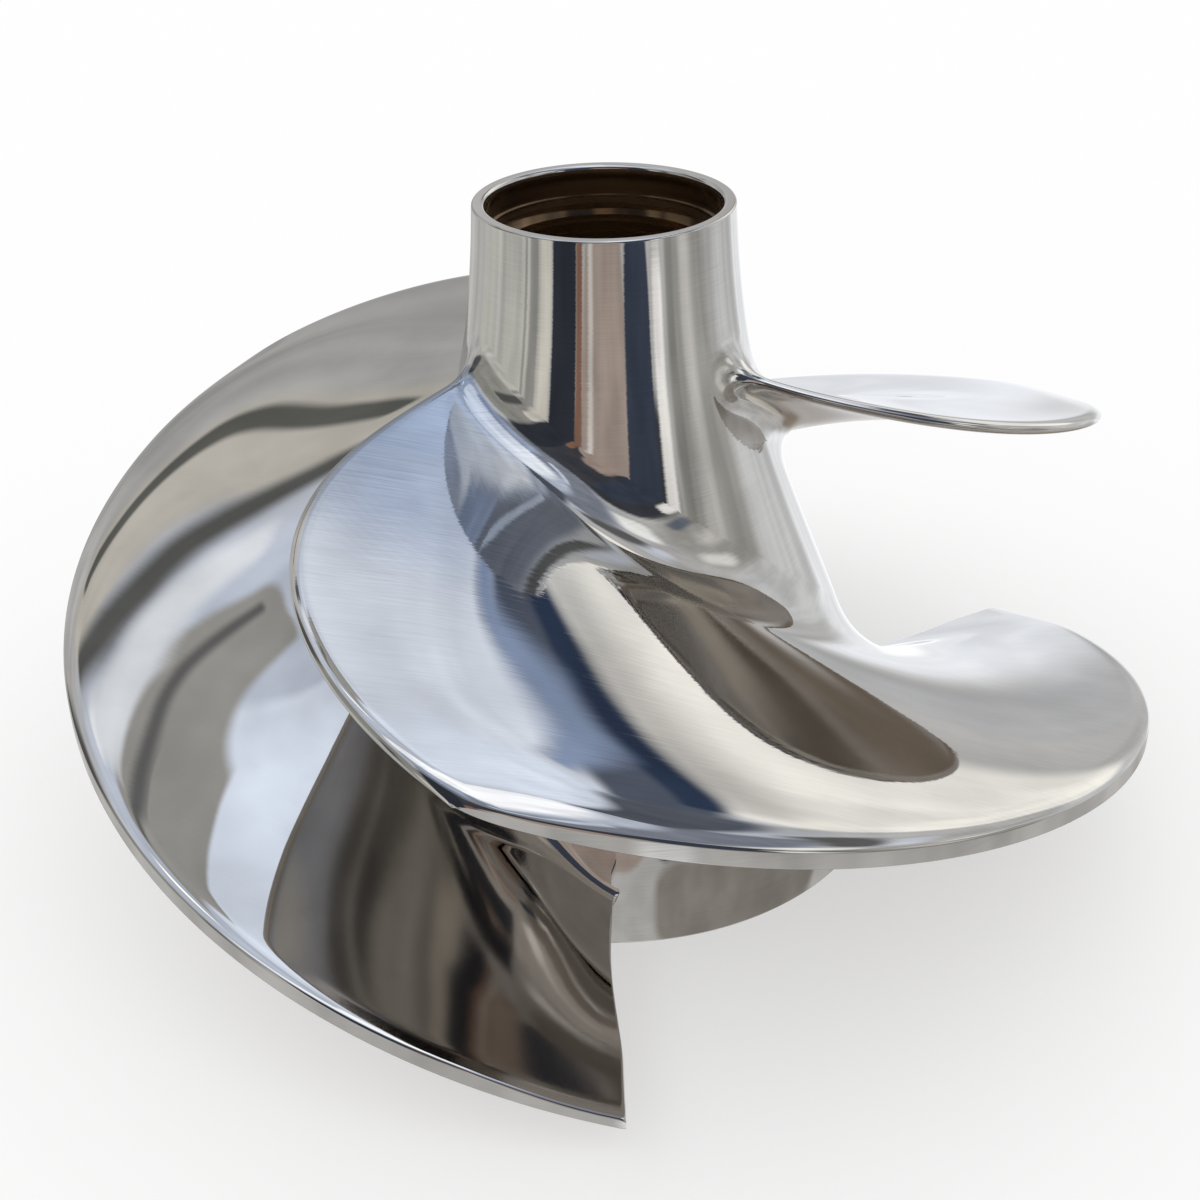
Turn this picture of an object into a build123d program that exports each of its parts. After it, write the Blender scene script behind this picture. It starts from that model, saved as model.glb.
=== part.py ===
from build123d import *

import math
import os

# Three-blade jet pump impeller: hub, collar and blades are one stainless casting, machined and polished.
# The axis is Z. The rear rim of the hub stands on z = 0 and the inlet collar is at the top.
# Lengths are in millimetres and angles in degrees. Angle 0 is +X and 90 is +Y.

# Driving sizes
height = 94.0
tip_radius = 80.2
collar_radius = 17.9
rim_radius = 41.8
blade_count = 3

# Hub outline: each station is a share of the way down and a share of the way out to the rear rim
collar_station = (0.106, 0.030)
throat_station = (0.218, 0.093)
flank_station = (0.477, 0.403)
shoulder_station = (0.632, 0.645)
belly_station = (0.819, 0.893)
collar_edge = 0.3
rim_edge = 0.3

# Bore, from the inlet end down
collar_wall = 1.8
mouth_edge = 0.6
seal_bore_depth = 4.2
seat_step = 0.3
seat_bore_depth = 2.4
lead_step = 1.4
lead_bore_depth = 7.0
spline_teeth = 22
spline_step = 1.4
spline_tooth_height = 1.4
spline_length = 36.0
tooth_foot_share = 0.30
tooth_top_share = 0.20
relief_step = 0.8
relief_length = 8.0
shaft_step = 0.4
register_step = 2.8
register_depth = 10.0

# Lower surface of the blades: a helix from the trailing edge up, lifted a little inside the tip
trailing_angle = 30.4
trailing_height = 3.9
tip_wrap = 134.6
tip_rise = 46.8
tip_bow = 9.0
trailing_lift = 1.5
trailing_lift_start = 0.13
trailing_lift_end = 0.80
leading_lift = 2.6
leading_lift_power = 10
inner_camber = 5.8
camber_skew = 0.8

# Blade thickness, measured square to the helix
root_thickness = 3.8
tip_thickness = 3.0
leading_root_thickness = 1.4
leading_tip_thickness = 2.2
trailing_thickness = 2.1
leading_thinning = 30.0
trailing_thinning_angle = 18.0

# Edges and roots of the blades
nose_length = 2.4
nose_fillet = 2.0
nose_share = 0.35
leading_fillet = 4.0
upper_fillet = 7.0
lower_fillet = 9.5
fillet_growth = 3.0
fillet_share = 0.6
trailing_hollow = 1.2
trailing_hollow_curve = 150.0

# The leading edge leaves the hub at the throat and sweeps back to the tip
leading_root_angle = -156.7
inner_sweep = 21.0
inner_power = 0.6
outer_sweep = 31.6
outer_power = 3
corner_sweep = 1.2
corner_power = 24

# How the blade surfaces are drawn
tip_overrun = 4.0
root_sink = 0.8
leading_step = 4.0
trailing_step = 10.0
span_points = 14
fillet_points = 4
halvings = 40
outline_steps = 200

# Sizes that follow from those above
seal_bore_radius = collar_radius - collar_wall
seat_bore_radius = seal_bore_radius - seat_step
lead_bore_radius = seat_bore_radius - lead_step
spline_root_radius = lead_bore_radius - spline_step
spline_tooth_radius = spline_root_radius - spline_tooth_height
relief_radius = spline_root_radius + relief_step
shaft_bore_radius = spline_tooth_radius - shaft_step
register_radius = shaft_bore_radius + register_step
core_radius = shaft_bore_radius
trailing_hollow_radius = 0.65 * tip_radius


def smooth_step(share):
    """Ease from 0 to 1 with flat ends."""
    share = min(max(share, 0.0), 1.0)
    return share ** 3 * (10.0 - 15.0 * share + 6.0 * share ** 2)


def blend(first, second, share):
    """Value at a share of the way from the first number to the second."""
    return first + (second - first) * share


def polar(radius, angle, z):
    """Point at a radius, an angle about the axis and a height."""
    turn = math.radians(angle)
    return Vector(radius * math.cos(turn), radius * math.sin(turn), z)


def hub_point(station):
    """Point of the hub outline at a share of the way down and of the way out."""
    down, out = station
    return Vector(blend(collar_radius, rim_radius, out), 0.0, blend(height, 0.0, down))


collar_top = Vector(collar_radius, 0.0, height - collar_edge)
throat = hub_point(throat_station)
rim_top = Vector(rim_radius, 0.0, rim_edge)
hub_outline = Edge.make_spline([
    collar_top,
    hub_point(collar_station),
    throat,
    hub_point(flank_station),
    hub_point(shoulder_station),
    hub_point(belly_station),
    rim_top,
])
outline_samples = [hub_outline @ (step / outline_steps) for step in range(outline_steps + 1)]
throat_radius = throat.X
leading_root_radius = 0.9 * throat_radius


def hub_radius(z):
    """Radius of the hub's outer surface at a height."""
    for upper, lower in zip(outline_samples, outline_samples[1:]):
        if lower.Z <= z <= upper.Z:
            return blend(lower.X, upper.X, (z - lower.Z) / (upper.Z - lower.Z))
    return rim_radius if z < rim_top.Z else collar_radius


def leading_angle(radius):
    """Angle of the leading edge at a radius. The last term rounds the corner at the tip."""
    share = (radius - leading_root_radius) / (tip_radius - leading_root_radius)
    inner = inner_sweep * share ** inner_power
    outer = outer_sweep * share ** outer_power
    return leading_root_angle + inner + outer + corner_sweep * share ** corner_power


def leading_radius(angle):
    """Radius of the leading edge at an angle, found by halving."""
    low = leading_root_radius
    high = tip_radius + tip_overrun
    for _ in range(halvings):
        middle = 0.5 * (low + high)
        if leading_angle(middle) < angle:
            low = middle
        else:
            high = middle
    return low


def nose_radius(angle):
    """Outer end of a blade section. Its foot eases onto the hub ahead of the leading edge."""
    foot_angle = leading_angle(throat_radius)
    next_angle = leading_angle(throat_radius + 1.0)
    if angle < next_angle:
        edge = throat_radius + (angle - foot_angle) / (next_angle - foot_angle)
    else:
        edge = leading_radius(angle)
    floor = throat_radius - root_sink
    middle = 0.5 * (edge + floor)
    eased = middle + math.hypot(0.5 * (edge - floor), nose_fillet)
    return min(eased, tip_radius + tip_overrun)


def lower_height(radius, angle):
    """Height of a blade's lower surface."""
    reach = max(radius - leading_root_radius, 0.0) / (tip_radius - leading_root_radius)
    turned = (trailing_angle - angle) / tip_wrap
    helix = trailing_height + tip_rise * turned + tip_bow * turned * (1.0 - turned) ** 2
    edge_angle = leading_angle(max(radius, leading_root_radius))
    lead = leading_lift * (1.0 - reach ** leading_lift_power)
    trail_share = (trailing_lift_end - reach) / (trailing_lift_end - trailing_lift_start)
    trail = trailing_lift * smooth_step(trail_share)
    share = min(max((angle - edge_angle) / (trailing_angle - edge_angle), 0.0), 1.0)
    skewed = share ** camber_skew
    camber = 4.0 * inner_camber * skewed * (1.0 - skewed) * (1.0 - reach ** 2) * (1.0 - reach)
    return helix + blend(lead, trail, smooth_step(share)) + camber


def axial_thickness(radius, angle):
    """Thickness of a blade along the axis: thick at the root, thin at its free edges."""
    reach = min(max((radius - throat_radius) / (tip_radius - throat_radius), 0.0), 1.0)
    body = blend(root_thickness, tip_thickness, reach)
    edge_angle = leading_angle(max(radius, leading_root_radius))
    behind_edge = radius * math.radians(angle - edge_angle)
    leading_thickness = blend(leading_root_thickness, leading_tip_thickness, reach)
    lead = (body - leading_thickness) * (1.0 - smooth_step(behind_edge / leading_thinning))
    turned = (trailing_angle - angle) / trailing_thinning_angle
    trail = (body - trailing_thickness) * (1.0 - smooth_step(turned))
    pitch_slope = tip_rise / (math.radians(tip_wrap) * max(radius, throat_radius))
    return (body - lead - trail) * math.hypot(1.0, pitch_slope)


def surface_height(radius, angle, upper):
    """Height of the upper or lower surface of a blade."""
    z = lower_height(radius, angle)
    return z + axial_thickness(radius, angle) if upper else z


def root_fillet(angle, upper):
    """Size of the fillet at a blade's root. The one above grows from the leading edge back."""
    if not upper:
        return -lower_fillet
    along = (angle - leading_root_angle) / (trailing_angle - leading_root_angle)
    return blend(leading_fillet, upper_fillet, smooth_step(1.5 * along))


def blade_side(angle, nose, upper):
    """One side of a blade section as (radius, z), from its foot in the hub out to the nose."""
    root = throat_radius
    for _ in range(halvings):
        root = hub_radius(surface_height(root, angle, upper))
    nose_start = nose - min(nose_length, nose_share * (nose - throat_radius + root_sink))
    rise = max(nose_start - root + root_sink, 0.5 * root_sink)
    grown = root_fillet(angle, upper) * (1.0 - math.exp(-rise / fillet_growth))
    foot_z = surface_height(root, angle, upper) + grown
    foot = (hub_radius(foot_z) - root_sink, foot_z)
    corner = (root - 0.5 * root_sink, surface_height(root, angle, upper))
    start = root - root_sink + min(abs(grown) + root_sink, fillet_share * rise)
    tangent = (start, surface_height(start, angle, upper))
    points = []
    for step in range(fillet_points):
        share = step / fillet_points
        first_leg = [blend(a, b, share) for a, b in zip(foot, corner)]
        second_leg = [blend(a, b, share) for a, b in zip(corner, tangent)]
        points.append([blend(a, b, share) for a, b in zip(first_leg, second_leg)])
    for step in range(span_points):
        radius = blend(start, nose_start, step / (span_points - 1))
        points.append([radius, surface_height(radius, angle, upper)])
    return points


def blade_section(angle):
    """Closed outline of one blade in the half plane at an angle."""
    nose = nose_radius(angle)
    upper = [polar(r, angle, z) for r, z in blade_side(angle, nose, True)]
    lower = [polar(r, angle, z) for r, z in blade_side(angle, nose, False)]
    steps = [step / (len(upper) - 1) for step in range(len(upper))]
    nose_tip = polar(nose, angle, 0.5 * (upper[-1].Z + lower[-1].Z))
    upper_core = polar(core_radius, angle, upper[0].Z)
    lower_core = polar(core_radius, angle, lower[0].Z)
    nose_line = Edge.make_spline(
        [upper[-1], nose_tip, lower[-1]],
        tangents=[upper[-1] - upper[-2], lower[-2] - lower[-1]],
        parameters=[0.0, 0.5, 1.0],
    )
    return Wire([
        Edge.make_spline(upper, parameters=steps),
        nose_line,
        Edge.make_spline(lower[::-1], parameters=steps),
        Edge.make_line(lower[0], lower_core),
        Edge.make_line(lower_core, upper_core),
        Edge.make_line(upper_core, upper[0]),
    ])


def section_angles():
    """Angles of the blade sections, close together along the leading edge."""
    angles = []
    angle = leading_root_angle - leading_step
    while angle < leading_angle(tip_radius + tip_overrun):
        angles.append(angle)
        angle += leading_step
    count = math.ceil((trailing_angle - angle) / trailing_step)
    return angles + [blend(angle, trailing_angle, step / count) for step in range(count + 1)]


def make_blade():
    """One blade, lofted through its sections, with its trailing edge hollowed to a shallow curve."""
    blade = Solid.make_loft([blade_section(angle) for angle in section_angles()])
    across = polar(1.0, trailing_angle + 90.0, 0.0)
    centre = polar(trailing_hollow_radius, trailing_angle, 0.0)
    centre = centre + across * (trailing_hollow_curve - trailing_hollow)
    return blade - Solid.make_cylinder(trailing_hollow_curve, height, Plane(origin=centre))


def make_hub():
    """The hub turned about the axis, before it is bored."""
    corners = [
        rim_top,
        Vector(rim_radius - rim_edge, 0.0, 0.0),
        Vector(0.0, 0.0, 0.0),
        Vector(0.0, 0.0, height),
        Vector(collar_radius - collar_edge, 0.0, height),
        collar_top,
    ]
    sides = [Edge.make_line(start, end) for start, end in zip(corners, corners[1:])]
    return Solid.revolve(Face(Wire([hub_outline] + sides)), 360, Axis.Z)


def bore_step(radius, top, length):
    """Round bore from a height down."""
    return Solid.make_cylinder(radius, length, Plane(origin=(0, 0, top - length)))


def spline_cutter(top):
    """Bore with straight-sided grooves between the teeth of the drive spline."""
    pitch = 360.0 / spline_teeth
    corners = [
        (spline_tooth_radius, -tooth_foot_share),
        (spline_root_radius, -tooth_top_share),
        (spline_root_radius, tooth_top_share),
        (spline_tooth_radius, tooth_foot_share),
    ]
    points = []
    for groove in range(spline_teeth):
        for radius, share in corners:
            points.append(polar(radius, pitch * (groove + share), top - spline_length))
    outline = Face(Wire.make_polygon(points, close=True))
    return Solid.extrude(outline, Vector(0, 0, spline_length))


def make_bore():
    """Everything that is cut along the axis, from the seal bore to the rear register."""
    seat_top = height - seal_bore_depth
    lead_top = seat_top - seat_bore_depth
    spline_top = lead_top - lead_bore_depth
    relief_top = spline_top - spline_length
    mouth = Plane(origin=(0, 0, height - mouth_edge))
    return [
        Solid.make_cone(seal_bore_radius, seal_bore_radius + mouth_edge, mouth_edge, mouth),
        bore_step(seal_bore_radius, height, seal_bore_depth),
        bore_step(seat_bore_radius, seat_top, seat_bore_depth),
        bore_step(lead_bore_radius, lead_top, lead_bore_depth),
        spline_cutter(spline_top),
        bore_step(relief_radius, relief_top, relief_length),
        bore_step(shaft_bore_radius, relief_top, relief_top),
        bore_step(register_radius, register_depth, register_depth),
    ]


def make_impeller():
    """The finished casting: hub and blades in one, turned to the tip radius and bored."""
    blade = make_blade()
    blades = [blade.rotate(Axis.Z, 360.0 * number / blade_count) for number in range(blade_count)]
    body = make_hub().fuse(*blades)
    body = body & Solid.make_cylinder(tip_radius, height)
    return body - make_bore()


os.makedirs("parts", exist_ok=True)
export_step(make_impeller(), "parts/impeller.step")
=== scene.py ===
import math

import bpy
import numpy as np
from mathutils import Matrix, Vector


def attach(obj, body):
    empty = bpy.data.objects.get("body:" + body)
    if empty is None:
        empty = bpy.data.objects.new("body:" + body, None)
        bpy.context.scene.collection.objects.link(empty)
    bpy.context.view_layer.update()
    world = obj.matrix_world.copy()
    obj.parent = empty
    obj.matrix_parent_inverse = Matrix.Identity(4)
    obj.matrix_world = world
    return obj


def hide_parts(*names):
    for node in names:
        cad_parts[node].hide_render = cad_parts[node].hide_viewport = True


# Looks of the jet pump impeller. The casting is redrawn from the CAD part's formulas as one fine mesh with
# exact normals, because its polish mirrors every facet. Lengths are in millimetres and angles in degrees
# until the mesh is made. The axis is Z, the rear rim of the hub stands on z = 0 and angle 0 is +X.

MM = 0.001

# Hub, as in the CAD part
height = 94.0
tip_radius = 80.2
collar_radius = 17.9
rim_radius = 41.8
blade_count = 3
hub_stations = [(0.106, 0.030), (0.218, 0.093), (0.477, 0.403), (0.632, 0.645), (0.819, 0.893)]
collar_edge = 0.3
rim_edge = 0.3

# Bore, as in the CAD part
collar_wall = 1.8
mouth_edge = 0.6
seal_bore_depth = 4.2
seat_step = 0.3
seat_bore_depth = 2.4
lead_step = 1.4
lead_bore_depth = 7.0
spline_teeth = 22
spline_step = 1.4
spline_tooth_height = 1.4
spline_length = 36.0
tooth_top_share = 0.20
tooth_foot_share = 0.30
relief_step = 0.8
relief_length = 8.0
shaft_step = 0.4
register_step = 2.8
register_depth = 10.0

# Blades, as in the CAD part
trailing_angle = 30.4
trailing_height = 3.9
tip_wrap = 134.6
tip_rise = 46.8
tip_bow = 9.0
trailing_lift = 1.5
trailing_lift_start = 0.13
trailing_lift_end = 0.80
leading_lift = 2.6
leading_lift_power = 10
inner_camber = 5.8
camber_skew = 0.8
root_thickness = 3.8
tip_thickness = 3.0
leading_root_thickness = 1.4
leading_tip_thickness = 2.2
trailing_thickness = 2.1
leading_thinning = 30.0
trailing_thinning_angle = 18.0
leading_root_angle = -156.7
leading_root_share = 0.9
inner_sweep = 21.0
inner_power = 0.6
outer_sweep = 31.6
outer_power = 3
corner_sweep = 1.2
corner_power = 24
trailing_hollow = 1.2
trailing_hollow_place = 0.65
trailing_hollow_span = 19.0

# Edges and roots of the blades, finer than in the CAD part
nose_length = 2.0
edge_round = 0.25
blunt_limit = 0.6
tip_roll_width = 3.2
tip_roll_drop = 0.5
tip_roll_power = 3
leading_fillet = 5.0
upper_fillet = 7.5
lower_fillet = 9.5
upper_fillet_growth = 1.5
lower_fillet_growth = 3.0
trailing_fillet = 1.6
trailing_fillet_start = 0.80
fillet_overlap = 0.01

# How finely the mesh is drawn
columns_per_tooth = 10
hub_rows = 84
nose_columns = 9
chord_columns = 120
round_rows = 3
end_columns = 12
end_depth = 0.99
fillet_rows = 13
span_rows = 52
span_crowding = 1.4
chord_evenness = 0.35
root_guess = 5.0
root_halvings = 60
weld_digits = 4
nudge = 0.02

# Camera, in millimetres and degrees
camera_target = (-1.47, 0.0, 31.81)
camera_distance = 268.9
camera_elevation = 29.78
camera_roll = -1.0155
camera_lens = 53.017
camera_sensor = 36.0

# Finish of the steel: lengths in millimetres, tilts as slopes, turns in radians, shares of the full brushing
turn_attribute = "brush_turn"
brushing_attribute = "brushing"
brush_turns = (0.0, 2.0, -0.45)
# Share of brushing for each blade; on the first it also gives the fullest painted blue reflection
blade_brushing_and_painted_reflection = (1.0, 0.25, 0.25)
brushed_chord = (0.08, 0.42)
brushed_reach = (0.25, 0.80)
far_brushing = 0.35
hub_brushing = 0.25
hairline_length = 8.0
hairline_width = 0.17
hairline_detail = 2.0
blade_tilt = 0.022
hub_tilt = 0.05
hub_slant = 0.6
blade_facing = (0.60, 0.75)
under_facing = (0.2, 0.6)
patch_size = 40.0
patch_detail = 1.0
patch_reach = (-0.5, 0.4)
patch_brushing = 0.6
scratch_level = (0.0, 0.7)
hairline_shade = 0.30
smear_size = 11.0
smear_detail = 3.0
smear_reach = (-0.4, 0.4)
smear_shade = 0.90
wave_size = 14.0
wave_detail = 1.0
wave_tilt = 0.004
mirror_roughness = 0.02
brushed_roughness = 0.20
under_roughness = 0.17
ring_pitch = 1.5
ring_detail = 2.0
ring_reach = (-0.4, 0.4)
bore_roughness = (0.12, 0.35)
polish_colour = (0.66, 0.66, 0.655, 1.0)
# Blue-grey where brushed: a painted reflection, not the steel's own colour
brushed_painted_reflection_colour = (0.37, 0.415, 0.49, 1.0)
# Brown-grey on faces turned down: painted shade and painted reflection
underside_painted_shade_colour = (0.47, 0.43, 0.39, 1.0)
bore_colour = (0.40, 0.325, 0.25, 1.0)
# Golden, lighter colour on the spline deep in the bore: a painted glint
spline_painted_glint_colour = (0.82, 0.62, 0.36, 1.0)

# Floor: millimetres, and the share of it that the camera sees as plain white
floor_reach = 3000.0
floor_height = -0.2
floor_colour = (0.99, 0.99, 0.99, 1.0)
floor_glow = 0.5
plain_light = (1.0, 1.0, 1.0, 1.0)

# Studio that the polish mirrors. Directions are in degrees: turn to the right of the camera, rise above the
# horizon. A panel has a name, the direction of its middle, its half width and half height, its tilt, how far
# its edges are softened, and its colour. Each lies over those above it in the list.
studio_level = 1.2
studio_seam = -122.0
studio_ground = (0.48, 0.465, 0.45)
studio_wall = (0.50, 0.49, 0.48)
studio_ceiling = (0.58, 0.63, 0.74)
ground_blend = (-25.0, -5.0)
ceiling_blend = (35.0, 65.0)
panel_roundness = 0.7
studio_grain = 5.0
studio_grain_detail = 2.0
studio_grain_reach = (-0.5, 0.5)
studio_grain_level = (0.84, 1.14)
studio_panels = [
    ("front wall", (0, 24), (50, 25), -3, 3, (0.05, 0.052, 0.062)),
    ("left table", (-88, -12), (36, 15), 4, 2, (0.52, 0.51, 0.47)),
    ("left table rail", (-98, -12), (2.5, 14), 3, 1, (0.60, 0.585, 0.555)),
    ("left table gap", (-69, -10), (1.2, 14), 0, 0.8, (0.33, 0.32, 0.30)),
    ("left table edge", (-61, -8), (4, 16), 0, 1.5, (0.30, 0.29, 0.27)),
    ("left wall", (-81, 27), (36, 22), 0, 3, (0.30, 0.295, 0.27)),
    ("left door frame", (-50, -2), (4.5, 17), 0, 1.5, (0.69, 0.65, 0.58)),
    ("left wall shade", (-63, 16), (3.5, 12), 0, 1.5, (0.09, 0.09, 0.09)),
    ("left doorway", (-34, 12), (10, 33), 0, 1, (0.03, 0.034, 0.044)),
    ("wood edge", (-21.5, -2), (2.4, 17), 0, 1, (0.24, 0.13, 0.09)),
    ("wood wall", (-2, -1), (17, 16), 0, 1, (0.38, 0.31, 0.27)),
    ("wood wall top", (0, 14), (10, 8), 0, 2, (0.36, 0.28, 0.24)),
    ("wood shine", (-12.5, -6), (1.8, 15), 0, 1.5, (0.66, 0.61, 0.57)),
    ("right doorway", (25, 12), (10.5, 28), 0, 1, (0.045, 0.056, 0.082)),
    ("white door", (42.5, 2), (4, 15), 0, 1.5, (0.95, 0.92, 0.88)),
    ("right wall", (72, 6), (24, 24), -3, 5, (0.37, 0.36, 0.335)),
    ("right wall gap", (54, -2), (3.5, 14), 0, 2, (0.27, 0.26, 0.24)),
    ("right wall shade", (55, 17), (3.5, 7), -20, 2, (0.15, 0.17, 0.21)),
    ("right wall shine", (69, -2), (5, 20), 0, 4, (0.56, 0.54, 0.51)),
    ("right wall light", (87, 18), (5, 7), 10, 3, (0.80, 0.78, 0.74)),
    ("right curtain", (122, 0), (24, 18), 0, 6, (0.64, 0.64, 0.64)),
    ("right lamp", (70, 42), (12, 6), 0, 2.5, (0.95, 0.95, 0.93)),
    ("front table", (54, -26), (38, 10.5), 1, 2, (0.25, 0.23, 0.205)),
    ("paper on the table", (10, -48), (9, 9), 0, 3, (1.2, 1.2, 1.2)),
    ("back table", (160, -20), (22, 9.5), -9, 4, (0.89, 0.90, 0.92)),
    ("back table shade", (150, -43), (11, 8.5), 0, 3, (0.30, 0.255, 0.21)),
    ("back sill", (159.5, -1), (3, 5), 8, 2, (0.50, 0.50, 0.51)),
    ("bright wall", (172, -8), (9, 12), 0, 3, (0.82, 0.84, 0.88)),
    ("top lamp", (19, 80), (90, 12), 5, 3, (1.2, 1.22, 1.26)),
    ("blue ceiling edge", (30, 56), (77, 8.5), 0, 3, (0.22, 0.24, 0.29)),
    ("ceiling joint", (20, 61), (22, 1.5), 8, 1, (0.60, 0.66, 0.78)),
    ("blue ceiling lamp", (-35, 60), (22, 5), 0, 4, (0.40, 0.47, 0.63)),
    ("ceiling shade", (104, 45), (13, 4.5), 12, 2.5, (0.12, 0.12, 0.12)),
    ("ceiling light", (102, 38), (10, 2.5), 0, 2, (0.62, 0.65, 0.72)),
    ("dark corner", (-106, 26), (9, 18), -12, 3, (0.09, 0.09, 0.09)),
    ("warm lamp", (-107, 71), (3.7, 4.7), 15, 2, (1.82, 1.80, 1.6)),
    ("skylight", (155, 71), (45, 16), 0, 4.5, (0.80, 0.87, 1.0)),
    ("window", (146, 28), (20, 17.5), 12, 2, (1.0, 0.97, 0.905)),
    ("window edge", (149, 36.5), (10, 2.5), -38, 2.5, (0.66, 0.635, 0.60)),
    ("window beam", (148, 44.6), (12, 4.2), -40, 1.2, (0.085, 0.10, 0.135)),
    ("skylight beam", (119, 61), (24, 6.8), -25, 2, (0.10, 0.112, 0.14)),
    ("navy beam", (148.5, 41), (9, 1.3), -38, 0.6, (0.03, 0.045, 0.085)),
    ("skylight foot", (164.7, 50), (11.5, 13), 0, 1, (0.79, 0.84, 0.94)),
    ("blue beam", (152, 46), (7, 1.6), -75, 1.5, (0.27, 0.34, 0.50)),
    ("window shade", (169, 23), (6, 7), 0, 2, (0.17, 0.15, 0.125)),
    ("back wall", (205, 10), (15, 23.5), 0, 4, (0.39, 0.385, 0.375)),
    ("back shelf", (219, 43), (12, 7.5), 2, 2, (0.55, 0.52, 0.47)),
    ("shelf shade", (216, 39), (9, 1.6), 10, 0.7, (0.12, 0.12, 0.11)),
    ("back beam", (221, 53), (10, 2.2), -27, 1.6, (0.12, 0.12, 0.115)),
    ("back ceiling", (205, 68.3), (27, 5.6), 7, 0.9, (0.345, 0.335, 0.315)),
    ("back lamp", (218, 60.3), (10, 2.4), -12, 1.4, (0.80, 0.83, 0.88)),
    ("lamp frame", (213, 67), (15, 0.8), 5, 0.7, (0.13, 0.13, 0.13)),
]

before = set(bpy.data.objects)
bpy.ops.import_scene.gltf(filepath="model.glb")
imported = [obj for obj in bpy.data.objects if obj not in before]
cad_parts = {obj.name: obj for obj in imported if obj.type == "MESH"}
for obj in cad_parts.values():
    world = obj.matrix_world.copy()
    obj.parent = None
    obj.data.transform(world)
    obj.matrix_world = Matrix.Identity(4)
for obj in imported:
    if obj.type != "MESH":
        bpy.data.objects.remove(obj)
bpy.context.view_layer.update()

# Sizes that follow from those above
throat_radius = collar_radius + (rim_radius - collar_radius) * hub_stations[1][1]
leading_root_radius = leading_root_share * throat_radius
seal_bore_radius = collar_radius - collar_wall
seat_bore_radius = seal_bore_radius - seat_step
lead_bore_radius = seat_bore_radius - lead_step
spline_root_radius = lead_bore_radius - spline_step
spline_tooth_radius = spline_root_radius - spline_tooth_height
relief_radius = spline_root_radius + relief_step
shaft_bore_radius = spline_tooth_radius - shaft_step
register_radius = shaft_bore_radius + register_step
seat_top = height - seal_bore_depth
lead_top = seat_top - seat_bore_depth
spline_top = lead_top - lead_bore_depth
relief_top = spline_top - spline_length
relief_bottom = relief_top - relief_length
hub_columns = spline_teeth * columns_per_tooth


def smooth_step(share):
    """Ease from 0 to 1 with flat ends."""
    share = np.clip(share, 0.0, 1.0)
    return share ** 3 * (10.0 - 15.0 * share + 6.0 * share ** 2)


def blend(first, second, share):
    """Value at a share of the way from the first to the second."""
    return first + (second - first) * share


def unit(vectors):
    """The vectors at length 1."""
    return vectors / np.linalg.norm(vectors, axis=-1, keepdims=True)


def dot(first, second):
    """Dot product along the last axis, kept as an axis."""
    return (first * second).sum(-1, keepdims=True)


def polar(radius, angle, z):
    """Points at a radius, an angle about the axis and a height."""
    turn = np.radians(angle)
    return np.stack(np.broadcast_arrays(radius * np.cos(turn), radius * np.sin(turn), z), -1)


def turned(points, angle):
    """Points or normals turned about the axis."""
    turn = math.radians(angle)
    matrix = np.array([
        [math.cos(turn), math.sin(turn), 0.0],
        [-math.sin(turn), math.cos(turn), 0.0],
        [0.0, 0.0, 1.0],
    ])
    return points @ matrix


# Hub outline: radius as a smooth cubic curve of the height
station_z = [height * (1.0 - down) for down, _ in hub_stations[::-1]]
station_r = [blend(collar_radius, rim_radius, out) for _, out in hub_stations[::-1]]
outline_z = np.array([rim_edge] + station_z + [height - collar_edge])
outline_r = np.array([rim_radius] + station_r + [collar_radius])


def curve_slopes(z, r):
    """Slopes at the stations of the cubic curve through them that bends without a jump."""
    gaps = np.diff(z)
    rates = np.diff(r) / gaps
    count = len(z)
    matrix = np.zeros((count, count))
    sums = np.zeros(count)
    matrix[0, :2] = 1.0
    matrix[-1, -2:] = 1.0
    sums[0] = 2.0 * rates[0]
    sums[-1] = 2.0 * rates[-1]
    for row in range(1, count - 1):
        matrix[row, row - 1:row + 2] = gaps[row], 2.0 * (gaps[row - 1] + gaps[row]), gaps[row - 1]
        sums[row] = 3.0 * (gaps[row] * rates[row - 1] + gaps[row - 1] * rates[row])
    return np.linalg.solve(matrix, sums)


outline_slopes = curve_slopes(outline_z, outline_r)


def hub_outline(z):
    """Radius of the hub at a height, and its slope."""
    low = np.clip(np.searchsorted(outline_z, z) - 1, 0, len(outline_z) - 2)
    gap = outline_z[low + 1] - outline_z[low]
    share = (z - outline_z[low]) / gap
    radius_low, radius_high = outline_r[low], outline_r[low + 1]
    slope_low, slope_high = gap * outline_slopes[low], gap * outline_slopes[low + 1]
    rise = radius_high - radius_low
    square = 3.0 * rise - 2.0 * slope_low - slope_high
    cube = slope_low + slope_high - 2.0 * rise
    radius = radius_low + share * (slope_low + share * (square + share * cube))
    slope = (slope_low + share * (2.0 * square + share * 3.0 * cube)) / gap
    return radius, slope


def hub_normal(points):
    """Outward normal of the hub at points on it."""
    _, slope = hub_outline(points[..., 2])
    radius = np.hypot(points[..., 0], points[..., 1])
    return unit(np.stack([points[..., 0] / radius, points[..., 1] / radius, -slope], -1))


def onto_hub(points):
    """The points moved straight out or in until they lie on the hub."""
    radius, _ = hub_outline(points[..., 2])
    scale = radius / np.hypot(points[..., 0], points[..., 1])
    return points * np.stack([scale, scale, np.ones_like(scale)], -1)


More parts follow.
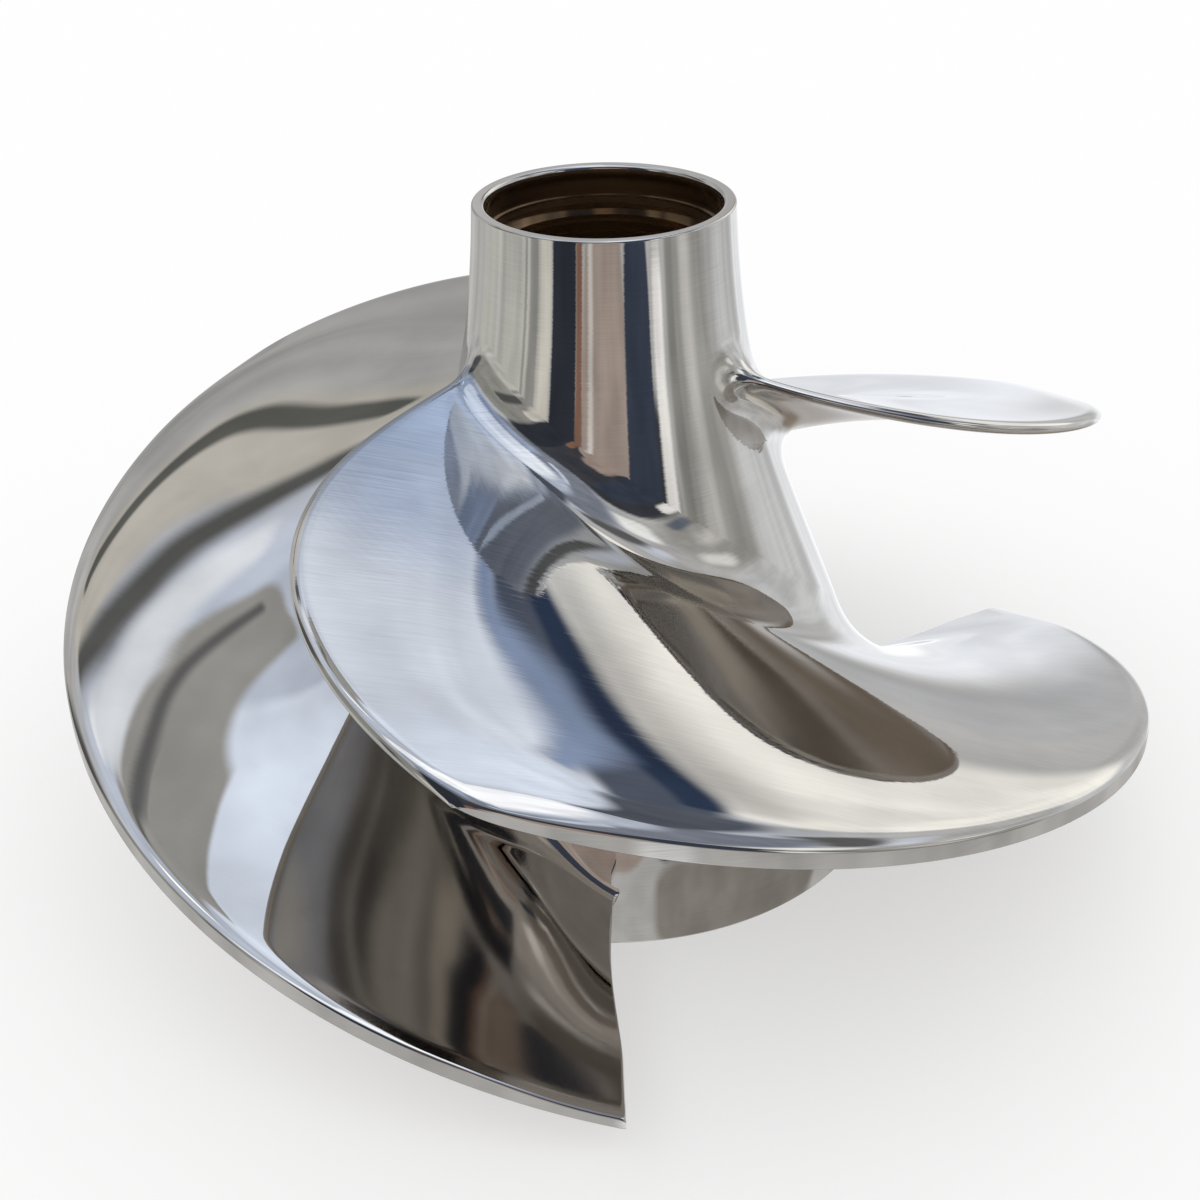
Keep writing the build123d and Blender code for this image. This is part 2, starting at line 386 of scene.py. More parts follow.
def leading_edge(radius):
    """Angle of the leading edge at a radius, and how far it sweeps from the radial there, as a cosine."""
    span = tip_radius - leading_root_radius
    share = (radius - leading_root_radius) / span
    angle = leading_root_angle + inner_sweep * share ** inner_power + outer_sweep * share ** outer_power
    angle = angle + corner_sweep * share ** corner_power
    rate = inner_sweep * inner_power * share ** (inner_power - 1.0)
    rate = rate + outer_sweep * outer_power * share ** (outer_power - 1)
    rate = rate + corner_sweep * corner_power * share ** (corner_power - 1)
    return angle, 1.0 / np.hypot(1.0, radius * np.radians(rate / span))


def trailing_edge(radius):
    """Angle of the trailing edge at a radius, with its shallow hollow."""
    share = (radius - trailing_hollow_place * tip_radius) / trailing_hollow_span
    hollow = trailing_hollow * np.maximum(1.0 - share ** 2, 0.0) ** 2
    return trailing_angle - np.degrees(hollow / radius)


def lower_height(radius, angle):
    """Height of a blade's lower surface: a helix, lifted a little inside the tip."""
    reach = (radius - leading_root_radius) / (tip_radius - leading_root_radius)
    turned_share = (trailing_angle - angle) / tip_wrap
    helix = trailing_height + tip_rise * turned_share + tip_bow * turned_share * (1.0 - turned_share) ** 2
    edge_angle, _ = leading_edge(radius)
    lead = leading_lift * (1.0 - reach ** leading_lift_power)
    trail_share = (trailing_lift_end - reach) / (trailing_lift_end - trailing_lift_start)
    trail = trailing_lift * smooth_step(trail_share)
    share = np.clip((angle - edge_angle) / (trailing_angle - edge_angle), 0.0, 1.0)
    skewed = share ** camber_skew
    camber = 4.0 * inner_camber * skewed * (1.0 - skewed) * (1.0 - reach ** 2) * (1.0 - reach)
    return helix + blend(lead, trail, smooth_step(share)) + camber


def axial_thickness(radius, angle):
    """Thickness of a blade along the axis: thick at the root, thin at its free edges."""
    reach = np.clip((radius - throat_radius) / (tip_radius - throat_radius), 0.0, 1.0)
    body = blend(root_thickness, tip_thickness, reach)
    edge_angle, _ = leading_edge(radius)
    behind_edge = radius * np.radians(angle - edge_angle)
    leading_thickness = blend(leading_root_thickness, leading_tip_thickness, reach)
    lead = (body - leading_thickness) * (1.0 - smooth_step(behind_edge / leading_thinning))
    turned_share = (trailing_angle - angle) / trailing_thinning_angle
    trail = (body - trailing_thickness) * (1.0 - smooth_step(turned_share))
    pitch_slope = tip_rise / (math.radians(tip_wrap) * np.maximum(radius, throat_radius))
    return (body - lead - trail) * np.hypot(1.0, pitch_slope)


def chord_length(radius):
    """Distance across a blade at a radius, square to its leading edge."""
    edge_angle, cosine = leading_edge(radius)
    return np.radians(trailing_edge(radius) - edge_angle) * radius * cosine


# Columns run round a blade: from the trailing edge forward below, round the nose, and back above. Each is a
# distance behind the leading edge: a share of the nose, then a share of the chord, then an edge rounding.
nose_turns = np.linspace(0.0, 0.5 * math.pi, nose_columns + 1)[1:]
nose_shares = 1.0 - np.cos(nose_turns)
chord_steps = np.linspace(0.0, 1.0, chord_columns + 1)[1:]
chord_shares = blend(chord_steps ** 2, chord_steps, chord_evenness)
round_turns = np.linspace(0.0, 0.5 * math.pi, round_rows + 1)[1:]
side_columns = nose_columns + chord_columns + round_rows
side_shares = np.concatenate([nose_shares * 0.0, chord_shares, np.ones(round_rows)])


def column_distances(radius):
    """Distance of each column of one side behind the leading edge, for radii with one row per column."""
    chord = chord_length(radius)
    flat = chord - edge_round - nose_length
    nose = nose_length * nose_shares[:, None] * np.ones_like(radius[:nose_columns])
    body = nose_length + flat[nose_columns:nose_columns + chord_columns] * chord_shares[:, None]
    end = chord[nose_columns + chord_columns:] - edge_round * (1.0 - np.sin(round_turns))[:, None]
    return np.concatenate([nose, body, end])


round_blunts = edge_round * (1.0 - np.cos(round_turns))
column_blunts = np.concatenate([np.zeros(nose_columns + chord_columns), round_blunts])


def blade_points(radius, distance, side, blunt):
    """Points of a blade's side (1 above, -1 below) at radii and distances behind the leading edge."""
    edge_angle, cosine = leading_edge(radius)
    angle = edge_angle + np.degrees(distance / (radius * cosine))
    thickness = axial_thickness(radius, angle)
    ahead = np.clip(1.0 - distance / nose_length, 0.0, 1.0)
    half = 0.5 * thickness * np.sqrt(np.maximum(1.0 - ahead ** 2, 0.0))
    half = half - np.minimum(blunt, blunt_limit * half)
    roll_share = np.clip(1.0 - (tip_radius - radius) / tip_roll_width, 0.0, 1.0)
    roll = tip_roll_drop * roll_share ** tip_roll_power * max(side, 0.0)
    return polar(radius, angle, lower_height(radius, angle) + 0.5 * thickness + side * half - roll)


def side_points(radius, row_blunt):
    """Points of all columns, below then above, at radii with one row per column of both sides."""
    below = radius[:side_columns]
    middle = radius[side_columns:side_columns + 1]
    above = radius[side_columns + 1:]
    blunt = column_blunts[:, None] + row_blunt
    lower = blade_points(below[::-1], column_distances(below[::-1]), -1.0, blunt)[::-1]
    nose = blade_points(middle, np.zeros_like(middle), 1.0, np.zeros_like(middle))
    upper = blade_points(above, column_distances(above), 1.0, blunt)
    return np.concatenate([lower, nose, upper])


def root_radii():
    """Radius at which each column meets the hub."""
    radius = np.full((2 * side_columns + 1, 1), throat_radius + root_guess)
    for _ in range(root_halvings):
        points = side_points(radius, 0.0)
        target, _ = hub_outline(np.clip(points[..., 2], rim_edge, height - collar_edge))
        radius = 0.5 * radius + 0.5 * np.maximum(target, leading_root_radius + nudge)
    return radius


def root_fillets():
    """Size of the fillet at each column's root: small at the leading edge, then growing."""
    lower = blend(leading_fillet, lower_fillet, smooth_step(lower_fillet_growth * side_shares))
    upper = blend(leading_fillet, upper_fillet, smooth_step(upper_fillet_growth * side_shares))
    near_end = smooth_step((side_shares - trailing_fillet_start) / (1.0 - trailing_fillet_start))
    lower = blend(lower, trailing_fillet, near_end)
    upper = blend(upper, trailing_fillet, near_end)
    return np.concatenate([lower[::-1], [leading_fillet], upper])[:, None]


def grid_normals(points):
    """Normals of a grid of points, from the directions along its rows and columns."""
    across = np.gradient(points, axis=0)
    along = np.gradient(points, axis=1)
    return unit(np.cross(along, across))


def blade_grid():
    """Points and normals of one blade, columns by rows, from the foot of its fillet to its tip.

    The columns of the trailing rounding flare to the side at their foot, as their neighbours do.
    """
    rounded = round_rows + 1
    root = root_radii()
    fillet = root_fillets()
    start = root + fillet
    stations = np.concatenate([root, root + nudge], axis=1)
    corner = side_points(stations, 0.0)
    along = corner[:, 1] - corner[:, 0]
    across = np.gradient(corner[:, 0], axis=0)
    blade_normal = unit(np.cross(along, across))
    blade_normal[:rounded] = blade_normal[rounded]
    blade_normal[-rounded:] = blade_normal[-rounded - 1]
    corner = corner[:, 0]
    normal = hub_normal(corner)
    outward = unit(blade_normal - dot(blade_normal, normal) * normal)
    foot = onto_hub(corner + fillet * outward)
    foot_normal = hub_normal(foot)
    span_shares = 1.0 - np.linspace(1.0, 0.0, span_rows + 1) ** span_crowding
    span = side_points(blend(start, tip_radius - edge_round, span_shares), 0.0)
    tip_radii = tip_radius - edge_round * (1.0 - np.sin(round_turns))
    tip_rows = [
        side_points(np.full_like(root, radius), blunt)
        for radius, blunt in zip(tip_radii, round_blunts)
    ]
    surface = np.concatenate([span] + tip_rows, axis=1)
    surface_normals = grid_normals(surface)
    tangent = surface[:, 0]
    tangent_normal = surface_normals[:, 0]
    middle = fillet_corner(foot, foot_normal, tangent, tangent_normal, corner)
    shares = np.linspace(0.0, 1.0, fillet_rows + 1)[None, :-1, None]
    flare = (1.0 - shares) ** 2 * foot[:, None] + 2.0 * shares * (1.0 - shares) * middle[:, None]
    flare = flare + shares ** 2 * tangent[:, None]
    points = np.concatenate([flare, surface], axis=1)
    normals = grid_normals(points)
    normals[:, 0] = foot_normal
    points[:, 0] = points[:, 0] - fillet_overlap * foot_normal
    normals[:, -1] = unit(points[:, -1] * np.array([1.0, 1.0, 0.0]))
    return points, normals


def fillet_corner(foot, foot_normal, tangent, tangent_normal, corner):
    """Point nearest the corner that lies in the tangent planes of both ends of the fillet."""
    rows = np.stack([foot_normal, tangent_normal], 1)
    gaps = np.concatenate([dot(foot_normal, foot - corner), dot(tangent_normal, tangent - corner)], -1)
    gram = rows @ rows.transpose(0, 2, 1)
    return corner + (rows.transpose(0, 2, 1) @ np.linalg.solve(gram, gaps[..., None]))[..., 0]


class Shell:
    """Collects grids of points with normals, and makes one mesh of them with the shared corners joined."""

    def __init__(self):
        self.corners = []
        self.normals = []
        self.turns = []
        self.brushing = []

    def add(self, points, normals, brush_turn=0.0, brushing=0.0):
        """Add the faces of a grid, with the direction and the strength of their brushing."""
        count = (points.shape[0] - 1) * (points.shape[1] - 1)
        self.turns.extend([brush_turn] * count)
        self.brushing.extend(np.broadcast_to(brushing, count))
        for store, grid in ((self.corners, points), (self.normals, normals)):
            faces = np.stack([grid[:-1, :-1], grid[1:, :-1], grid[1:, 1:], grid[:-1, 1:]], 2)
            store.append(faces.reshape(-1, 4, 3))

    def make(self, name):
        """The mesh object, in metres. Corners that fall together in a face leave it a triangle."""
        corners = np.concatenate(self.corners)
        normals = np.concatenate(self.normals)
        facing = np.cross(corners[:, 2] - corners[:, 0], corners[:, 3] - corners[:, 1])
        backwards = (facing * normals.mean(1)).sum(1) < 0.0
        corners[backwards] = corners[backwards][:, ::-1]
        normals[backwards] = normals[backwards][:, ::-1]
        keys = np.round(corners.reshape(-1, 3), weld_digits)
        _, first, index = np.unique(keys, axis=0, return_index=True, return_inverse=True)
        places = corners.reshape(-1, 3)[first] * MM
        index = index.reshape(-1, 4)
        faces = []
        loop_normals = []
        kept_faces = []
        for number, (face, face_normals) in enumerate(zip(index.tolist(), normals)):
            kept = [spot for spot in range(4) if face[spot] != face[spot - 1]]
            if len(set(face[spot] for spot in kept)) < 3:
                continue
            kept_faces.append(number)
            faces.append([face[spot] for spot in kept])
            loop_normals.extend(face_normals[kept].tolist())
        mesh = bpy.data.meshes.new(name)
        mesh.from_pydata(places.tolist(), [], faces)
        mesh.polygons.foreach_set("use_smooth", [True] * len(mesh.polygons))
        mesh.normals_split_custom_set(loop_normals)
        for key, values in ((turn_attribute, self.turns), (brushing_attribute, self.brushing)):
            stored = mesh.attributes.new(key, "FLOAT", "FACE")
            stored.data.foreach_set("value", np.array(values)[kept_faces])
        mesh.update()
        piece = bpy.data.objects.new(name, mesh)
        bpy.context.scene.collection.objects.link(piece)
        return piece


def add_blades(shell):
    """The blades: their skins, the lands at their tips and their trailing faces."""
    points, normals = blade_grid()
    tip = points[:, -1]
    land = np.stack([tip[:side_columns + 1][::-1], tip[side_columns:]], 1)
    land_normals = unit(land * np.array([1.0, 1.0, 0.0]))
    across = np.linspace(0.0, 1.0, end_columns + 1)[None, :, None]
    end = blend(points[0][:, None], points[-1][:, None], across)
    inside_hub = onto_hub(end[:1]) * np.array([end_depth, end_depth, 1.0])
    end = np.concatenate([inside_hub, end])
    behind = unit(np.stack([-end[..., 1], end[..., 0], np.zeros_like(end[..., 0])], -1))
    brushing = brushing_of_skin(points)
    for number in range(blade_count):
        angle = 360.0 * number / blade_count
        grids = (
            (points, normals, brushing),
            (land, land_normals, far_brushing),
            (end, behind, far_brushing),
        )
        for grid, directions, strength in grids:
            strength = strength * blade_brushing_and_painted_reflection[number]
            shell.add(turned(grid, angle), turned(directions, angle), brush_turns[number], strength)


def brushing_of_skin(points):
    """How strongly each face of a blade's skin is brushed: most behind the leading edge, near the hub."""
    chord = np.concatenate([side_shares[::-1], side_shares])[:, None]
    reach = (np.hypot(points[1:, 1:, 0], points[1:, 1:, 1]) - throat_radius) / (tip_radius - throat_radius)
    behind = 1.0 - smooth_step((chord - brushed_chord[0]) / (brushed_chord[1] - brushed_chord[0]))
    inside = 1.0 - smooth_step((reach - brushed_reach[0]) / (brushed_reach[1] - brushed_reach[0]))
    # The same strength sets the painted blue reflection of the brushed faces
    return blend(far_brushing, 1.0, behind * inside).ravel()


def ring(shell, profile, directions):
    """Add a band turned about the axis from points and normals given as (radius, z)."""
    angles = np.linspace(0.0, 360.0, hub_columns + 1)[:, None]
    profile = np.array(profile)
    directions = np.array(directions)
    points = polar(profile[None, :, 0], angles, profile[None, :, 1])
    normals = unit(polar(directions[None, :, 0], angles, directions[None, :, 1]))
    shell.add(points, normals)


def add_rounding(shell, centre, size, start, end):
    """Add a rounded edge: an arc about a centre in (radius, z), between two angles."""
    turns = np.radians(np.linspace(start, end, round_rows + 2))
    directions = np.stack([np.cos(turns), np.sin(turns)], -1)
    ring(shell, np.array(centre) + size * directions, directions)


def add_hub(shell):
    """Outside of the hub and collar, the collar's rounded lips and the rear face."""
    z = np.linspace(rim_edge, height - collar_edge, hub_rows + 1)
    radius, slope = hub_outline(z)
    ring(shell, np.stack([radius, z], -1), np.stack([np.ones_like(z), -slope], -1))
    add_rounding(shell, (collar_radius - collar_edge, height - collar_edge), collar_edge, 0.0, 90.0)
    mouth_radius = seal_bore_radius + mouth_edge
    ring(shell, [(collar_radius - collar_edge, height), (mouth_radius, height)], [(0.0, 1.0)] * 2)
    add_rounding(shell, (mouth_radius, height - mouth_edge), mouth_edge, 90.0, 180.0)
    add_rounding(shell, (rim_radius - rim_edge, rim_edge), rim_edge, -90.0, 0.0)
    ring(shell, [(register_radius, 0.0), (rim_radius - rim_edge, 0.0)], [(0.0, -1.0)] * 2)


def add_bore(shell):
    """Walls and steps of the bore from the mouth down, with the spline's teeth."""
    walls = [
        (seal_bore_radius, height - mouth_edge, seat_top),
        (seat_bore_radius, seat_top, lead_top),
        (lead_bore_radius, lead_top, spline_top),
        (relief_radius, relief_top, relief_bottom),
        (shaft_bore_radius, relief_bottom, register_depth),
        (register_radius, register_depth, 0.0),
    ]
    for radius, top, bottom in walls:
        ring(shell, [(radius, top), (radius, bottom)], [(-1.0, 0.0)] * 2)
    steps = [
        (seal_bore_radius, seat_bore_radius, seat_top, 1.0),
        (seat_bore_radius, lead_bore_radius, lead_top, 1.0),
        (relief_radius, shaft_bore_radius, relief_bottom, 1.0),
        (shaft_bore_radius, register_radius, register_depth, -1.0),
    ]
    for outer, inner, z, facing in steps:
        ring(shell, [(outer, z), (inner, z)], [(0.0, facing)] * 2)
    add_spline(shell, spline_top, relief_top)


def add_spline(shell, top, bottom):
    """Teeth of the spline: a wall whose radius steps between tooth and groove, and its two end faces."""
    columns = np.arange(hub_columns + 1)
    angles = 360.0 * columns / hub_columns
    offsets = np.abs((columns / columns_per_tooth + 0.5) % 1.0 - 0.5)
    share = np.clip((offsets - tooth_top_share) / (tooth_foot_share - tooth_top_share), 0.0, 1.0)
    radius = blend(spline_root_radius, spline_tooth_radius, share)
    upper = polar(radius, angles, top)
    lower = polar(radius, angles, bottom)
    for column in range(hub_columns):
        wall = np.stack([upper[column:column + 2], lower[column:column + 2]], 1)
        side = wall[1, 0] - wall[0, 0]
        facing = unit(np.array([-side[1], side[0], 0.0]))
        shell.add(wall, np.broadcast_to(facing, wall.shape))
    for edge, radius, facing in ((upper, lead_bore_radius, 1.0), (lower, relief_radius, -1.0)):
        face = np.stack([edge, polar(radius, angles, edge[0, 2])], 1)
        shell.add(face, np.broadcast_to([0.0, 0.0, facing], face.shape))


def make_impeller():
    """The whole casting as one mesh."""
    shell = Shell()
    add_hub(shell)
    add_bore(shell)
    add_blades(shell)
    return shell.make("impeller_casting")


def add_node(tree, kind, inputs, **settings):
    """A shader node with its settings. Its inputs are given as values, or as sockets to link to."""
    node = tree.nodes.new("ShaderNode" + kind)
    for name, value in settings.items():
        setattr(node, name, value)
    for key, value in inputs.items():
        if isinstance(value, bpy.types.NodeSocket):
            tree.links.new(value, node.inputs[key])
        else:
            node.inputs[key].default_value = value
    return node


def calculate(tree, operation, *values):
    """Result of a math node."""
    return add_node(tree, "Math", dict(enumerate(values)), operation=operation).outputs[0]


def calculate_vector(tree, operation, *values):
    """Result of a vector math node."""
    return add_node(tree, "VectorMath", dict(enumerate(values)), operation=operation).outputs[0]


def scale_vector(tree, vector, scale):
    """A vector times a number."""
    return add_node(tree, "VectorMath", {0: vector, "Scale": scale}, operation="SCALE").outputs[0]


def ramp(tree, value, start, end, low=0.0, high=1.0):
    """A number eased from low at the start to high at the end."""
    inputs = {"Value": value, "From Min": start, "From Max": end, "To Min": low, "To Max": high}
    return add_node(tree, "MapRange", inputs, interpolation_type="SMOOTHSTEP").outputs["Result"]


def mix_colours(tree, share, first, second):
    """Colour at a share of the way from the first to the second."""
    inputs = {0: share, 6: first, 7: second}
    return add_node(tree, "Mix", inputs, data_type="RGBA").outputs[2]


def mix_vectors(tree, share, first, second):
    """Vector at a share of the way from the first to the second."""
    inputs = {0: share, 4: first, 5: second}
    return add_node(tree, "Mix", inputs, data_type="VECTOR").outputs[1]


def mix_shaders(tree, output, share, first, second):
    """Give the output node the shader at a share of the way from the first node's to the second's."""
    either = add_node(tree, "MixShader", {0: share, 1: first.outputs[0], 2: second.outputs[0]})
    tree.links.new(either.outputs[0], tree.nodes[output].inputs["Surface"])


def noise(tree, place, scale, detail, output="Fac"):
    """Noise about zero, between about -1 and 1."""
    texture = add_node(tree, "TexNoise", {"Vector": place, "Scale": scale, "Detail": detail})
    if output == "Fac":
        return calculate(tree, "MULTIPLY_ADD", texture.outputs["Fac"], 2.0, -1.0)
    return calculate_vector(tree, "MULTIPLY_ADD", texture.outputs["Color"], (2.0,) * 3, (-1.0,) * 3)


def attribute(tree, name):
    """A number kept on the faces of the mesh."""
    return add_node(tree, "Attribute", {}, attribute_name=name).outputs["Fac"]


def mix_numbers(tree, share, first, second):
    """Number at a share of the way from the first to the second."""
    return add_node(tree, "Mix", {0: share, 2: first, 3: second}).outputs[0]


def hairline_pattern(tree, place, on_blade):
    """Noise drawn out along the brushing: along the blades, and round the hub."""
    back_turn = calculate(tree, "MULTIPLY", attribute(tree, turn_attribute), -1.0)
    inputs = {"Vector": place, "Angle": back_turn}
    blade_place = add_node(tree, "VectorRotate", inputs, rotation_type="Z_AXIS").outputs[0]
    along_scale = 1.0 / (hairline_length * MM)
    across_scale = 1.0 / (hairline_width * MM)
    blade_place = calculate_vector(tree, "MULTIPLY", blade_place, (along_scale, across_scale, along_scale))
    hub_place = calculate_vector(tree, "MULTIPLY", place, (along_scale, along_scale, across_scale))
    mostly_blade = calculate(tree, "GREATER_THAN", on_blade, 0.5)
    return noise(tree, mix_vectors(tree, mostly_blade, hub_place, blade_place), 1.0, hairline_detail)


def hairline_tilt(tree, normal, on_blade, strength):
    """Vector by which a full hairline tilts the surface: across the lines, and on the hub along them too."""
    inputs = {"Vector": (0.0, 1.0, 0.0), "Angle": attribute(tree, turn_attribute)}
    across = add_node(tree, "VectorRotate", inputs, rotation_type="Z_AXIS").outputs[0]
    blade_vector = scale_vector(tree, across, calculate(tree, "MULTIPLY", strength, blade_tilt))
    round_hub = calculate_vector(tree, "CROSS_PRODUCT", (0.0, 0.0, 1.0), normal)
    hub_vector = calculate_vector(tree, "ADD", scale_vector(tree, round_hub, hub_slant), (0.0, 0.0, 1.0))
    return mix_vectors(tree, on_blade, scale_vector(tree, hub_vector, hub_tilt * hub_brushing), blade_vector)


def brushing_strength(tree, place, on_blade):
    """How strongly the steel is brushed: on the hub evenly, on the blades by their faces and in patches."""
    pattern = noise(tree, place, 1.0 / (patch_size * MM), patch_detail)
    patches = ramp(tree, pattern, *patch_reach, patch_brushing, 1.0)
    on_skin = calculate(tree, "MULTIPLY", attribute(tree, brushing_attribute), patches)
    # The strength also sets how much painted blue reflection the colour takes
    return mix_numbers(tree, on_blade, hub_brushing, on_skin)


def steel_normal(tree, place, normal, tilt):
    """Normal of the steel, tilted by its hairlines and by slight waves."""
    waves = scale_vector(tree, noise(tree, place, 1.0 / (wave_size * MM), wave_detail, "Color"), wave_tilt)
    bent = calculate_vector(tree, "ADD", calculate_vector(tree, "ADD", normal, tilt), waves)
    return calculate_vector(tree, "NORMALIZE", bent)


def steel_colour(tree, place, strength, lines, below, in_bore):
    """Colour of the steel: painted blue reflection where brushed, painted shade and reflection below, brown in
    the bore, painted golden glint on the spline.
    """
    # Painted blue reflection, fuller where the steel is brushed more
    colour = mix_colours(tree, ramp(tree, strength, far_brushing, 1.0), polish_colour, brushed_painted_reflection_colour)
    shade = calculate(tree, "MULTIPLY", lines, calculate(tree, "MULTIPLY", strength, hairline_shade))
    colour = scale_vector(tree, colour, calculate(tree, "ADD", shade, 1.0))
    # Painted shade and reflection: brown-grey on faces turned down
    colour = mix_colours(tree, below, colour, underside_painted_shade_colour)
    pattern = noise(tree, place, 1.0 / (smear_size * MM), smear_detail)
    colour = scale_vector(tree, colour, ramp(tree, pattern, *smear_reach, smear_shade, 1.0))
    # Brown in the bore, with a painted golden glint on the spline below the lead bore
    place_height = add_node(tree, "SeparateXYZ", {0: place}).outputs["Z"]
    deep = calculate(tree, "LESS_THAN", place_height, (spline_top + nudge) * MM)
    return mix_colours(tree, in_bore, colour, mix_colours(tree, deep, bore_colour, spline_painted_glint_colour))


def steel_roughness(tree, place, strength, lines, below, in_bore):
    """Roughness of the steel: a mirror dulled by its scratches, duller below, in turned rings in the bore."""
    scratches = calculate(tree, "MULTIPLY", strength, ramp(tree, lines, *scratch_level))
    spread = brushed_roughness - mirror_roughness
    outside = calculate(tree, "MULTIPLY_ADD", scratches, spread, mirror_roughness)
    outside = mix_numbers(tree, below, outside, under_roughness)
    depth = calculate_vector(tree, "MULTIPLY", place, (0.0, 0.0, 1.0 / (ring_pitch * MM)))
    rings = ramp(tree, noise(tree, depth, 1.0, ring_detail), *ring_reach, *bore_roughness)
    return mix_numbers(tree, in_bore, outside, rings)


def make_steel():
    """Polished stainless steel with hairlines, duller below, a brown bore, and painted reflection, shade and
    glint in its colour.
    """
    material = bpy.data.materials.new("polished_steel")
    material.use_nodes = True
    tree = material.node_tree
    shader = tree.nodes["Principled BSDF"]
    shader.inputs["Metallic"].default_value = 1.0
    place = add_node(tree, "TexCoord", {}).outputs["Object"]
    normal = add_node(tree, "NewGeometry", {}).outputs["Normal"]
    facing = add_node(tree, "SeparateXYZ", {0: normal}).outputs["Z"]
    on_blade = ramp(tree, calculate(tree, "ABSOLUTE", facing), *blade_facing)
    below = ramp(tree, calculate(tree, "MULTIPLY", facing, -1.0), *under_facing)
    flat_place = calculate_vector(tree, "MULTIPLY", place, (1.0, 1.0, 0.0))
    radius = add_node(tree, "VectorMath", {0: flat_place}, operation="LENGTH").outputs["Value"]
    in_bore = calculate(tree, "LESS_THAN", radius, (seal_bore_radius + nudge) * MM)
    strength = brushing_strength(tree, place, on_blade)
    lines = hairline_pattern(tree, place, on_blade)
    tilt = scale_vector(tree, hairline_tilt(tree, normal, on_blade, strength), lines)
    results = {
        "Normal": steel_normal(tree, place, normal, tilt),
        "Base Color": steel_colour(tree, place, strength, lines, below, in_bore),
        "Roughness": steel_roughness(tree, place, strength, lines, below, in_bore),
    }
    for key, result in results.items():
        tree.links.new(result, shader.inputs[key])
    return material


def studio_directions(tree):
    """Turn to the right of the camera and rise above the horizon of a direction, in degrees."""
    direction = add_node(tree, "TexCoord", {}).outputs["Generated"]
    parts = add_node(tree, "SeparateXYZ", {0: direction}).outputs
    front = calculate(tree, "MULTIPLY", parts["Y"], -1.0)
    turn = calculate(tree, "DEGREES", calculate(tree, "ARCTAN2", parts["X"], front))
    past_seam = calculate(tree, "LESS_THAN", turn, studio_seam)
    turn = calculate(tree, "MULTIPLY_ADD", past_seam, 360.0, turn)
    return turn, calculate(tree, "DEGREES", calculate(tree, "ARCSINE", parts["Z"]))


def add_panel(tree, seen, below, panel):
    """Lay one panel of the studio over what lies below it."""
    _, (turn, rise), (half_width, half_height), tilt, softness, colour = panel
    own = calculate_vector(tree, "SUBTRACT", seen, (turn, rise, 0.0))
    if tilt:
        inputs = {"Vector": own, "Angle": math.radians(-tilt)}
        own = add_node(tree, "VectorRotate", inputs, rotation_type="Z_AXIS").outputs[0]
    corner = max(panel_roundness * min(half_width, half_height), softness)
    straight = (half_width - corner, half_height - corner, 0.0)
    past_straight = calculate_vector(tree, "SUBTRACT", calculate_vector(tree, "ABSOLUTE", own), straight)
    past_straight = calculate_vector(tree, "MAXIMUM", past_straight, (0.0, 0.0, 0.0))
    distance = add_node(tree, "VectorMath", {0: past_straight}, operation="LENGTH").outputs["Value"]
    share = ramp(tree, distance, corner - softness, corner + softness, 1.0, 0.0)
    return mix_colours(tree, share, below, (*colour, 1.0))


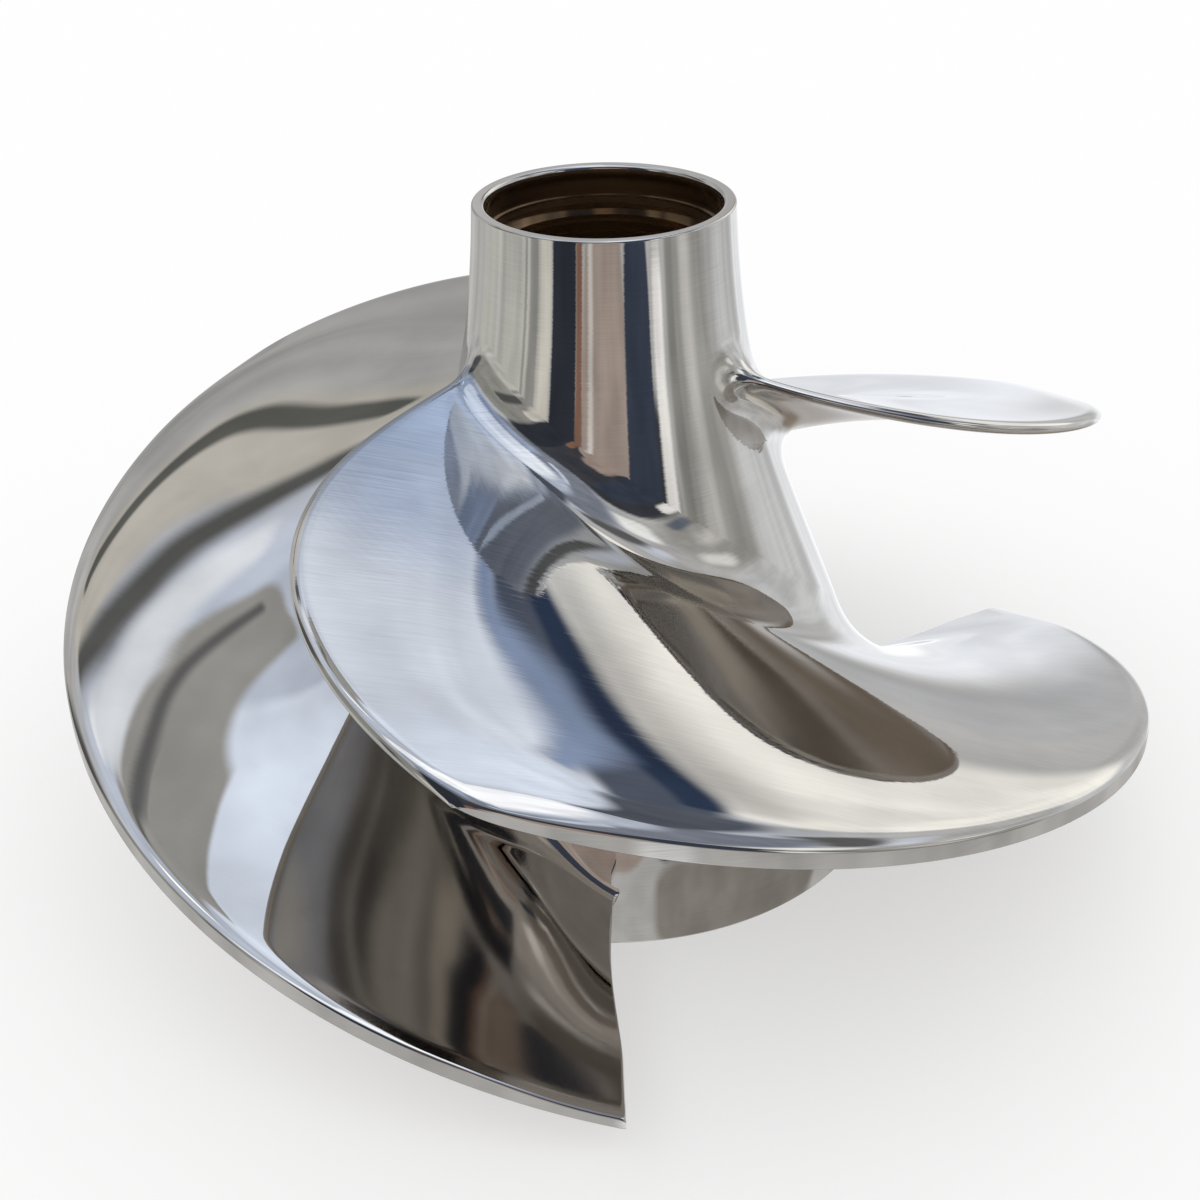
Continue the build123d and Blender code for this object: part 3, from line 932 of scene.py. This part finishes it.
def make_studio():
    """World: a studio of walls, window and lamps for the polish to mirror, and plain white light otherwise."""
    world = bpy.data.worlds.new("studio")
    bpy.context.scene.world = world
    world.use_nodes = True
    world.cycles.sampling_method = "NONE"
    tree = world.node_tree
    turn, rise = studio_directions(tree)
    seen = add_node(tree, "CombineXYZ", {"X": turn, "Y": rise}).outputs[0]
    studio = mix_colours(tree, ramp(tree, rise, *ground_blend), (*studio_ground, 1.0), (*studio_wall, 1.0))
    studio = mix_colours(tree, ramp(tree, rise, *ceiling_blend), studio, (*studio_ceiling, 1.0))
    for panel in studio_panels:
        studio = add_panel(tree, seen, studio, panel)
    direction = add_node(tree, "TexCoord", {}).outputs["Generated"]
    grain = noise(tree, direction, studio_grain, studio_grain_detail)
    grain_level = ramp(tree, grain, *studio_grain_reach, *studio_grain_level)
    studio = scale_vector(tree, studio, calculate(tree, "MULTIPLY", grain_level, studio_level))
    plain = tree.nodes["Background"]
    plain.inputs["Color"].default_value = plain_light
    mirrored = add_node(tree, "Background", {"Color": studio})
    is_glossy = add_node(tree, "LightPath", {}).outputs["Is Glossy Ray"]
    mix_shaders(tree, "World Output", is_glossy, plain, mirrored)


def make_floor():
    """Plain white floor that takes a soft shadow. The polish mirrors the studio's own table in its place."""
    mesh = bpy.data.meshes.new("floor")
    sides = [(-1, -1), (1, -1), (1, 1), (-1, 1)]
    corners = [(x * floor_reach * MM, y * floor_reach * MM, floor_height * MM) for x, y in sides]
    mesh.from_pydata(corners, [], [(0, 1, 2, 3)])
    material = bpy.data.materials.new("white_floor")
    material.use_nodes = True
    tree = material.node_tree
    shader = tree.nodes["Principled BSDF"]
    shader.inputs["Base Color"].default_value = floor_colour
    shader.inputs["Roughness"].default_value = 1.0
    shader.inputs["Specular IOR Level"].default_value = 0.0
    glow = add_node(tree, "Emission", {"Color": plain_light})
    is_camera = add_node(tree, "LightPath", {}).outputs["Is Camera Ray"]
    mix_shaders(tree, "Material Output", calculate(tree, "MULTIPLY", is_camera, floor_glow), shader, glow)
    mesh.materials.append(material)
    floor = bpy.data.objects.new("floor", mesh)
    floor.visible_glossy = False
    bpy.context.scene.collection.objects.link(floor)


def make_camera():
    """Camera that looks at the impeller from the front and above."""
    elevation = math.radians(camera_elevation)
    back = Vector((0.0, -math.cos(elevation), math.sin(elevation)))
    roll = Matrix.Rotation(math.radians(camera_roll), 3, back)
    right = roll @ Vector((1.0, 0.0, 0.0))
    data = bpy.data.cameras.new("camera")
    data.sensor_width = camera_sensor
    data.lens = camera_lens
    camera = bpy.data.objects.new("camera", data)
    place = (Vector(camera_target) + camera_distance * back) * MM
    turn = Matrix((right, back.cross(right), back)).transposed()
    camera.matrix_world = Matrix.Translation(place) @ turn.to_4x4()
    bpy.context.scene.collection.objects.link(camera)
    bpy.context.scene.camera = camera


casting = make_impeller()
casting.data.materials.append(make_steel())
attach(casting, "root")
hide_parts("impeller")
make_floor()
make_studio()
make_camera()

bpy.context.scene.view_settings.view_transform = "Standard"
